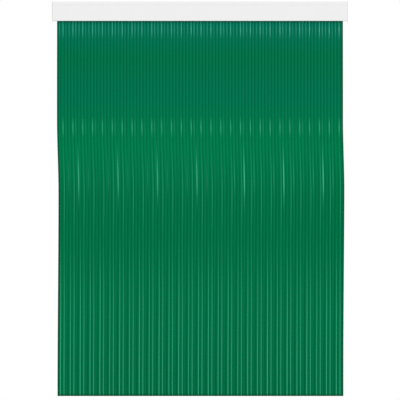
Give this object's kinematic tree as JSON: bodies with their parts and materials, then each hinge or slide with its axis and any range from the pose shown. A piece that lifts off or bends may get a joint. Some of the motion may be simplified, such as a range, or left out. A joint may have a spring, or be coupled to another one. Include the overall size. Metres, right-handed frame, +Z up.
{
  "type": "fly curtain",
  "caption": "Wall-hung fly curtain: fluted green PVC ribbons fold over a steel rod in a white header, and each swings freely to let people through.",
  "frame": {"origin": "the middle of the centre bracket's flat face against the wall", "axes": "+X along the header to the right as seen from the front, +Y into the wall, +Z up; the front faces -Y"},
  "size_m": [1.5042, 0.044, 2],
  "materials": {
    "header_white": "satin white extruded profile",
    "cap_white": "fine-grained white moulding",
    "ribbon_green": "glossy soft PVC with three flutes along it",
    "hook_plastic": "natural moulded plastic",
    "rod_steel": "bright drawn steel",
    "zinc_steel": "zinc plated"
  },
  "bodies": {
    "header": {"header_back_rail": "header_white", "header_front_fascia": "header_white", "end_cap_left": "cap_white", "end_cap_right": "cap_white", "end_cap_screw_left_lower": "zinc_steel", "end_cap_screw_left_upper": "zinc_steel", "end_cap_screw_right_lower": "zinc_steel", "end_cap_screw_right_upper": "zinc_steel", "hanger_rod": "rod_steel", "rod_hook_1": "hook_plastic", "rod_hook_2": "hook_plastic", "rod_hook_3": "hook_plastic", "rod_hook_4": "hook_plastic", "rod_hook_5": "hook_plastic", "rod_hook_6": "hook_plastic", "wall_bracket_left": "zinc_steel", "wall_bracket_centre": "zinc_steel", "wall_bracket_right": "zinc_steel", "lock_screw_left": "zinc_steel", "lock_screw_centre": "zinc_steel", "lock_screw_right": "zinc_steel"},
    "hanging_ribbon_01": {"ribbon_01": "ribbon_green"},
    "hanging_ribbon_02": {"ribbon_02": "ribbon_green"},
    "hanging_ribbon_03": {"ribbon_03": "ribbon_green"},
    "hanging_ribbon_04": {"ribbon_04": "ribbon_green"},
    "hanging_ribbon_05": {"ribbon_05": "ribbon_green"},
    "hanging_ribbon_06": {"ribbon_06": "ribbon_green"},
    "hanging_ribbon_07": {"ribbon_07": "ribbon_green"},
    "hanging_ribbon_08": {"ribbon_08": "ribbon_green"},
    "hanging_ribbon_09": {"ribbon_09": "ribbon_green"},
    "hanging_ribbon_10": {"ribbon_10": "ribbon_green"},
    "hanging_ribbon_11": {"ribbon_11": "ribbon_green"},
    "hanging_ribbon_12": {"ribbon_12": "ribbon_green"},
    "hanging_ribbon_13": {"ribbon_13": "ribbon_green"},
    "hanging_ribbon_14": {"ribbon_14": "ribbon_green"},
    "hanging_ribbon_15": {"ribbon_15": "ribbon_green"},
    "hanging_ribbon_16": {"ribbon_16": "ribbon_green"},
    "hanging_ribbon_17": {"ribbon_17": "ribbon_green"},
    "hanging_ribbon_18": {"ribbon_18": "ribbon_green"},
    "hanging_ribbon_19": {"ribbon_19": "ribbon_green"},
    "hanging_ribbon_20": {"ribbon_20": "ribbon_green"},
    "hanging_ribbon_21": {"ribbon_21": "ribbon_green"},
    "hanging_ribbon_22": {"ribbon_22": "ribbon_green"},
    "hanging_ribbon_23": {"ribbon_23": "ribbon_green"},
    "hanging_ribbon_24": {"ribbon_24": "ribbon_green"},
    "hanging_ribbon_25": {"ribbon_25": "ribbon_green"},
    "hanging_ribbon_26": {"ribbon_26": "ribbon_green"},
    "hanging_ribbon_27": {"ribbon_27": "ribbon_green"},
    "hanging_ribbon_28": {"ribbon_28": "ribbon_green"},
    "hanging_ribbon_29": {"ribbon_29": "ribbon_green"}
  },
  "joints": [
    {"name": "ribbon_01_swing", "type": "hinge", "parent": "header", "child": "hanging_ribbon_01", "pos_m": [-0.7, -0.0255, -0.06], "axis": [1, 0, 0], "range_deg": [-60, 60]},
    {"name": "ribbon_02_swing", "type": "hinge", "parent": "header", "child": "hanging_ribbon_02", "pos_m": [-0.65, -0.0255, -0.06], "axis": [1, 0, 0], "range_deg": [-60, 60]},
    {"name": "ribbon_03_swing", "type": "hinge", "parent": "header", "child": "hanging_ribbon_03", "pos_m": [-0.6, -0.0255, -0.06], "axis": [1, 0, 0], "range_deg": [-60, 60]},
    {"name": "ribbon_04_swing", "type": "hinge", "parent": "header", "child": "hanging_ribbon_04", "pos_m": [-0.55, -0.0255, -0.06], "axis": [1, 0, 0], "range_deg": [-60, 60]},
    {"name": "ribbon_05_swing", "type": "hinge", "parent": "header", "child": "hanging_ribbon_05", "pos_m": [-0.5, -0.0255, -0.06], "axis": [1, 0, 0], "range_deg": [-60, 60]},
    {"name": "ribbon_06_swing", "type": "hinge", "parent": "header", "child": "hanging_ribbon_06", "pos_m": [-0.45, -0.0255, -0.06], "axis": [1, 0, 0], "range_deg": [-60, 60]},
    {"name": "ribbon_07_swing", "type": "hinge", "parent": "header", "child": "hanging_ribbon_07", "pos_m": [-0.4, -0.0255, -0.06], "axis": [1, 0, 0], "range_deg": [-60, 60]},
    {"name": "ribbon_08_swing", "type": "hinge", "parent": "header", "child": "hanging_ribbon_08", "pos_m": [-0.35, -0.0255, -0.06], "axis": [1, 0, 0], "range_deg": [-60, 60]},
    {"name": "ribbon_09_swing", "type": "hinge", "parent": "header", "child": "hanging_ribbon_09", "pos_m": [-0.3, -0.0255, -0.06], "axis": [1, 0, 0], "range_deg": [-60, 60]},
    {"name": "ribbon_10_swing", "type": "hinge", "parent": "header", "child": "hanging_ribbon_10", "pos_m": [-0.25, -0.0255, -0.06], "axis": [1, 0, 0], "range_deg": [-60, 60]},
    {"name": "ribbon_11_swing", "type": "hinge", "parent": "header", "child": "hanging_ribbon_11", "pos_m": [-0.2, -0.0255, -0.06], "axis": [1, 0, 0], "range_deg": [-60, 60]},
    {"name": "ribbon_12_swing", "type": "hinge", "parent": "header", "child": "hanging_ribbon_12", "pos_m": [-0.15, -0.0255, -0.06], "axis": [1, 0, 0], "range_deg": [-60, 60]},
    {"name": "ribbon_13_swing", "type": "hinge", "parent": "header", "child": "hanging_ribbon_13", "pos_m": [-0.1, -0.0255, -0.06], "axis": [1, 0, 0], "range_deg": [-60, 60]},
    {"name": "ribbon_14_swing", "type": "hinge", "parent": "header", "child": "hanging_ribbon_14", "pos_m": [-0.05, -0.0255, -0.06], "axis": [1, 0, 0], "range_deg": [-60, 60]},
    {"name": "ribbon_15_swing", "type": "hinge", "parent": "header", "child": "hanging_ribbon_15", "pos_m": [0, -0.0255, -0.06], "axis": [1, 0, 0], "range_deg": [-60, 60]},
    {"name": "ribbon_16_swing", "type": "hinge", "parent": "header", "child": "hanging_ribbon_16", "pos_m": [0.05, -0.0255, -0.06], "axis": [1, 0, 0], "range_deg": [-60, 60]},
    {"name": "ribbon_17_swing", "type": "hinge", "parent": "header", "child": "hanging_ribbon_17", "pos_m": [0.1, -0.0255, -0.06], "axis": [1, 0, 0], "range_deg": [-60, 60]},
    {"name": "ribbon_18_swing", "type": "hinge", "parent": "header", "child": "hanging_ribbon_18", "pos_m": [0.15, -0.0255, -0.06], "axis": [1, 0, 0], "range_deg": [-60, 60]},
    {"name": "ribbon_19_swing", "type": "hinge", "parent": "header", "child": "hanging_ribbon_19", "pos_m": [0.2, -0.0255, -0.06], "axis": [1, 0, 0], "range_deg": [-60, 60]},
    {"name": "ribbon_20_swing", "type": "hinge", "parent": "header", "child": "hanging_ribbon_20", "pos_m": [0.25, -0.0255, -0.06], "axis": [1, 0, 0], "range_deg": [-60, 60]},
    {"name": "ribbon_21_swing", "type": "hinge", "parent": "header", "child": "hanging_ribbon_21", "pos_m": [0.3, -0.0255, -0.06], "axis": [1, 0, 0], "range_deg": [-60, 60]},
    {"name": "ribbon_22_swing", "type": "hinge", "parent": "header", "child": "hanging_ribbon_22", "pos_m": [0.35, -0.0255, -0.06], "axis": [1, 0, 0], "range_deg": [-60, 60]},
    {"name": "ribbon_23_swing", "type": "hinge", "parent": "header", "child": "hanging_ribbon_23", "pos_m": [0.4, -0.0255, -0.06], "axis": [1, 0, 0], "range_deg": [-60, 60]},
    {"name": "ribbon_24_swing", "type": "hinge", "parent": "header", "child": "hanging_ribbon_24", "pos_m": [0.45, -0.0255, -0.06], "axis": [1, 0, 0], "range_deg": [-60, 60]},
    {"name": "ribbon_25_swing", "type": "hinge", "parent": "header", "child": "hanging_ribbon_25", "pos_m": [0.5, -0.0255, -0.06], "axis": [1, 0, 0], "range_deg": [-60, 60]},
    {"name": "ribbon_26_swing", "type": "hinge", "parent": "header", "child": "hanging_ribbon_26", "pos_m": [0.55, -0.0255, -0.06], "axis": [1, 0, 0], "range_deg": [-60, 60]},
    {"name": "ribbon_27_swing", "type": "hinge", "parent": "header", "child": "hanging_ribbon_27", "pos_m": [0.6, -0.0255, -0.06], "axis": [1, 0, 0], "range_deg": [-60, 60]},
    {"name": "ribbon_28_swing", "type": "hinge", "parent": "header", "child": "hanging_ribbon_28", "pos_m": [0.65, -0.0255, -0.06], "axis": [1, 0, 0], "range_deg": [-60, 60]},
    {"name": "ribbon_29_swing", "type": "hinge", "parent": "header", "child": "hanging_ribbon_29", "pos_m": [0.7, -0.0255, -0.06], "axis": [1, 0, 0], "range_deg": [-60, 60]}
  ]
}
